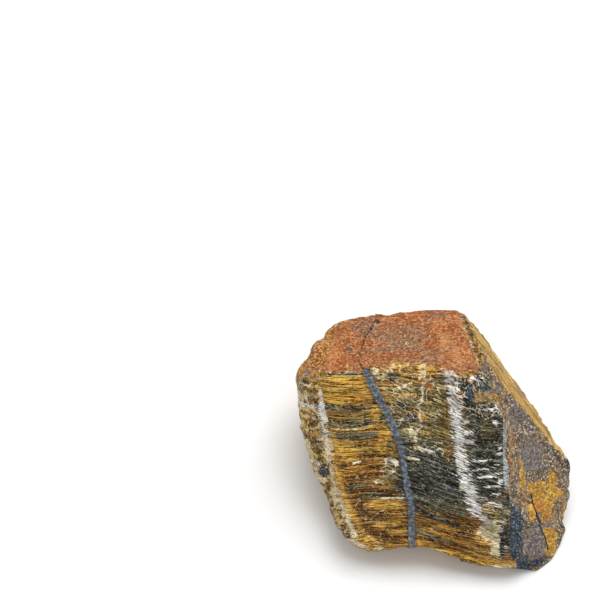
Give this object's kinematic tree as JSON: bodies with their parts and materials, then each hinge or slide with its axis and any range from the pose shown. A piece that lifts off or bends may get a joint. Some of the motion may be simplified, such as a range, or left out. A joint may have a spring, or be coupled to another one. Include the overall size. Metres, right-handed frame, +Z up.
{
  "type": "rough tiger's eye stone",
  "caption": "Broken lump of fibrous golden-brown and blue-black quartz with a hematite vein, a red crust on top and a flat resting break.",
  "frame": {"origin": "on the ground plane, under the middle of the lump's bounding box", "axes": "+X along the fibres, the lump's longest extent, towards the brown skin; +Y towards the back, away from the sloping fibre face; +Z up from the flat resting break"},
  "size_m": [0.0576, 0.0501, 0.0314],
  "materials": {
    "tigers_eye": "raw fractured fibrous quartz: silky gold, brown and blue-black bands across a grey hematite vein, with a matt red and brown oxide crust"
  },
  "bodies": {
    "root": {"tigers_eye": "tigers_eye"}
  },
  "joints": []
}
